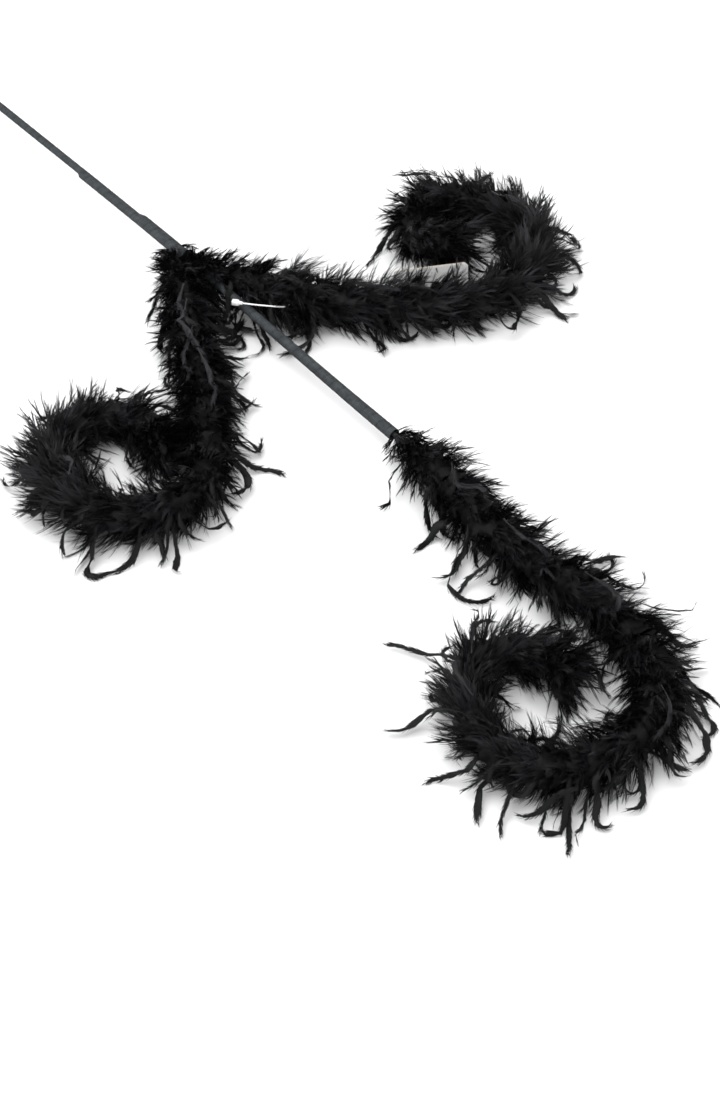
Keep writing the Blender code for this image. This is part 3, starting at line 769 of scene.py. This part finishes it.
def strap_points(route):
    """The strap: from its lock over the stem, once round the boa's cord, then along to the card's hole."""
    centre, ahead, right = (Vector(v) for v in route.at(np.array(STRAP_AT)))
    up = right.cross(ahead)
    hole, along, face, _ = card_frame()
    start = LOCK_END + (LOCK_END - LOCK_START).normalized() * AIR
    guides = [start, STRAP_OVER_STEM]
    guides.append(centre + right * 0.0182 + up * 0.0062 - ahead * STRAP_PITCH / 2)
    guides.append(centre + right * 0.0090 + up * 0.0035 - ahead * STRAP_PITCH / 2)
    for k in range(STRAP_TURN_STEPS + 1):
        share = k / STRAP_TURN_STEPS
        turn = math.radians(STRAP_TURN_FROM + (STRAP_TURN_TO - STRAP_TURN_FROM) * share)
        arm = right * math.cos(turn) + up * math.sin(turn)
        guides.append(centre + arm * STRAP_TURN_R + ahead * STRAP_PITCH * (share - 0.5))
    guides.append(centre - right * 0.0090 + up * 0.0030 + ahead * STRAP_PITCH / 2)
    guides.append(centre - right * 0.0200 - up * 0.0020 + ahead * 0.0010)
    guides.append(centre - right * 0.0235 - up * 0.0060 + ahead * 0.0130)
    guides.append(hole + face * 0.0044 - along * 0.0140)
    guides.append(hole + face * STRAP_PAST_CARD - along * STRAP_PAST_CARD)
    guides += [hole, hole - face * STRAP_PAST_CARD]
    return smooth_path(guides, STRAP_SPACING)


def turned(name, start, end, profile, material, square=0.0):
    """A solid turned about the line from start to end and squared off. profile is (share, radius)."""
    axis = np.array(end - start)
    side = unit(np.cross(axis, UP))
    up = unit(np.cross(side, axis))
    share, radius = np.array(profile).T
    turns = 2 * math.pi * np.arange(TURNED_SIDES) / TURNED_SIDES
    middle = np.array(start) + axis * share[:, None]
    grid = ring_grid(middle, side * radius[:, None], up * radius[:, None], turns)
    if square:
        boxy = 1 / np.maximum(np.abs(np.cos(turns)), np.abs(np.sin(turns)))
        grid = middle[:, None, :] + (grid - middle[:, None, :]) * (1 + square * (boxy - 1))[None, :, None]
    sheets = Sheets()
    sheets.add(grid[None], 0.0, closed=True)
    return sheets.build(name, material)


def tag(material, card_finish):
    route = branch_route(BRANCHES["right"])
    points = strap_points(route)
    curve = bpy.data.curves.new("tag_strap_cord", "CURVE")
    curve.dimensions = "3D"
    curve.bevel_depth = STRAP_R
    curve.bevel_resolution = 4
    curve.use_fill_caps = True
    line = curve.splines.new("POLY")
    line.points.add(len(points) - 1)
    for spot, point in zip(line.points, points):
        spot.co = (*point, 1)
    curve.materials.append(material)
    strap = bpy.data.objects.new("tag_strap_cord", curve)
    bpy.context.scene.collection.objects.link(strap)

    profile = [(0, 0.0001), (0, 0.0014), (0.02, 0.0018), (0.08, 0.0021), (0.55, 0.0021), (0.62, 0.0019)]
    profile += [(0.66, 0.0013), (0.80, 0.0011), (0.98, 0.0010), (1.0, 0.0008), (1.0, 0.0001)]
    lock = turned("tag_lock_head", LOCK_START, LOCK_END, profile, material, square=0.6)
    hole, along, face, up = card_frame()
    centre = hole - face * (STRAP_PAST_CARD + AIR + TOGGLE_R)
    reach = along * TOGGLE_LENGTH / 2
    profile = [(0, 0.0001), (0.01, 0.0005), (0.05, 0.0008), (0.12, 0.0009), (0.40, 0.0009), (0.46, 0.0008)]
    profile += [(1 - share, r) for share, r in profile[::-1]]
    bar = turned("tag_end_bar", centre - reach, centre + reach, profile, material)
    for piece, node in ((strap, "tag_strap"), (lock, "tag_lock"), (bar, "tag_toggle")):
        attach(piece, "right_arm")
        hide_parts(node)

    width, height, thick = CARD_SIZE
    turns = 2 * math.pi * (np.arange(CARD_SIDES) + 0.5) / CARD_SIDES
    middle = hole + along * (width / 2 - HOLE_INSET)
    ray = np.stack((np.cos(turns), np.sin(turns)), axis=-1)

    def outline(inset):
        """Where rays from the hole meet the rounded edge, in the card's own plane."""
        made = []
        half_w, half_h, r = width / 2 - inset, height / 2 - inset, CARD_ROUND
        start = np.array((HOLE_INSET - width / 2, 0.0))
        for d in ray:
            reach = np.linspace(0, width, 1400)[:, None] * d + start
            q = np.abs(reach) - np.array((half_w - r, half_h - r))
            gap = np.linalg.norm(np.maximum(q, 0), axis=1) + np.minimum(q.max(axis=1), 0) - r
            made.append(reach[np.argmax(gap > 0)])
        return np.array(made)

    inner = np.array((HOLE_INSET - width / 2, 0.0)) + ray * HOLE_R
    edge, rim = outline(0.0), outline(CARD_EDGE)
    rows = [(inner + (rim - inner) * k, thick / 2, 0.0) for k in (0.0, 0.1, 0.3, 0.6, 0.85, 1.0)]
    rows += [(edge, thick * 0.30, 1.0), (edge, -thick * 0.30, 1.0)]
    rows += [(inner + (rim - inner) * k, -thick / 2, 0.0) for k in (1.0, 0.85, 0.6, 0.3, 0.1, 0.0)]
    rows.append(rows[0])
    grid, tones = [], []
    for flat, depth, tone in rows:
        bow = depth - CARD_BOW * (flat[:, :1] / width + 0.3) ** 2
        plane = np.array(along) * flat[:, :1] + np.array(up) * flat[:, 1:]
        grid.append(np.array(middle) + plane + np.array(face) * bow)
        tones.append(np.full(len(turns), tone))
    sheets = Sheets()
    sheets.add(np.array(grid)[None], 0.0, closed=True)
    sheets.tones = [np.concatenate(tones)]
    piece = sheets.build("tag_card_blank", card_finish)
    piece.data.set_sharp_from_angle(angle=math.radians(30))
    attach(piece, "tag")
    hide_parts("tag_card")


# assembly


def boa(name, plan, material):
    """The feathers of one branch, in the sections that its two bends cut it into."""
    route = branch_route(plan)
    arm, curl = f"{name}_arm", f"{name}_curl"
    curl_at = plan["curl_at"]
    bend_from, bend_to = curl_at - BEND_HALF, curl_at + BEND_HALF
    end = route.length - END_GAP
    half_way = (bend_to + end) / 2
    sections = [
        ("root", -0.004, ROOT_STOP, "root_feathers"),
        ("arm", ROOT_STOP, bend_from, "arm_feathers"),
        ("bend", bend_from, bend_to, "bend_feathers"),
        ("curl", bend_to, half_way, "curl_feathers"),
        ("end", half_way, end, "tip_feathers"),
    ]
    for number, (part, start, stop, node) in enumerate(sections):
        rng = np.random.default_rng([7, sorted(BRANCHES).index(name), number])
        sheets = Sheets()
        plumes(sheets, rng, route, start, stop, plan["full_near"])
        core(sheets, rng, route, max(start, 0.004), stop)
        if part == "end":
            plumes(sheets, rng, route, stop - 0.014, stop + 0.006, plan["full_near"], 1.15)
        first, last = start * 1000, stop * 1000
        for row in [row for row in WISPS[name] if first <= row[0] < last]:
            wisp(sheets, rng, route, row)
        for row in [row for row in LYING[name] if first <= row[0] < last]:
            wisp(sheets, rng, route, row, width=LYING_HALF_WIDTH, lying=True)
        for row in random_wisps(rng, max(start, 0.015), stop, SHORT_PER_METRE):
            wisp(sheets, rng, route, row, width=SHORT_HALF_WIDTH)
        piece = sheets.build(f"{name}_{part}_plumes", material)
        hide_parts(f"{name}_{node}")
        if part == "root":
            route.point(-0.012)
            route.point(0.030)
            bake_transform(piece)
        elif part == "bend":
            route.point(curl_at - 0.030)
            route.point(curl_at + 0.030)
            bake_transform(piece)
        else:
            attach(piece, arm if part == "arm" else curl)


def fork_fluff(material):
    """Loose feathers that close over the stem between the two roots."""
    stem = Route((0.0, 0.0), 0, [(STEM_LENGTH, 0)], STEM_RISE)
    rng = np.random.default_rng(23)
    sheets = Sheets()
    plumes(sheets, rng, stem, 0.358, 0.394, [], 0.66)
    core(sheets, rng, stem, 0.360, 0.384, 0.6)
    piece = sheets.build("fork_plumes", material)
    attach(piece, "stem")


studio()
tape = tape_material()
nylon = plain_material("white_nylon", (0.84, 0.84, 0.84), (0.92, 0.92, 0.92), 400.0, 0.35, 0.2)
tag(nylon, card_material())
feather = feather_material()
for branch_name, branch_plan in BRANCHES.items():
    boa(branch_name, branch_plan, feather)
fork_fluff(feather)
stem_tape(tape)

cord = plain_material("boa_cord", (0.004, 0.004, 0.004), (0.012, 0.012, 0.012), 900.0, 0.85)
wire = plain_material("coated_wire", (0.012, 0.012, 0.012), (0.03, 0.03, 0.03), 300.0, 0.45)
finishes = {"tape": tape, "tag": nylon, "wire": wire, "cord": cord, "knot": cord}
for node_name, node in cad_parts.items():
    for word, finish in finishes.items():
        if word in node_name:
            for slot in node.material_slots:
                slot.material = finish
            break
